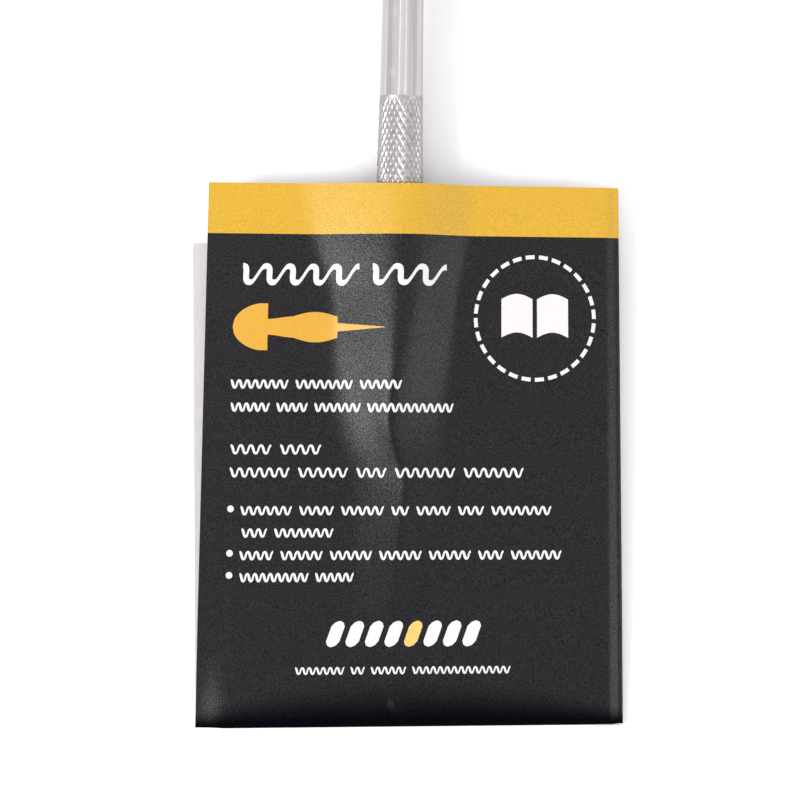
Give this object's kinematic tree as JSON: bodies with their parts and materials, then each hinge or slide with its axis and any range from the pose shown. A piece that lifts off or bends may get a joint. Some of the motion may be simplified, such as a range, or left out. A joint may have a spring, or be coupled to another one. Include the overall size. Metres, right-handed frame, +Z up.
{
  "type": "bookbinding awl",
  "caption": "Slim turned steel bookbinding awl with a domed palm head, knurled grip and thin needle point, held in a printed folded card sleeve that slides off.",
  "frame": {"origin": "middle of the bottom face of the whole object's box, on the surface it lies on", "axes": "+Y along the awl from its point towards its head, +X across the sleeve towards its folded edge, +Z up from the surface"},
  "size_m": [0.0846, 0.1696, 0.019],
  "materials": {
    "printed_card": "satin, printed charcoal black with a golden yellow band",
    "dried_glue": "satin",
    "turned_steel": "satin, drawn and knurled",
    "needle_steel": "polished"
  },
  "bodies": {
    "sleeve": {"card_sleeve": "printed_card", "flap_glue": "dried_glue"},
    "awl": {"handle": "turned_steel", "palm_head": "turned_steel", "needle": "needle_steel"}
  },
  "joints": [
    {"name": "awl_slide", "type": "slide", "parent": "sleeve", "child": "awl", "axis": [0, 0.9988, 0.0489], "range_m": [0, 0.11]}
  ]
}
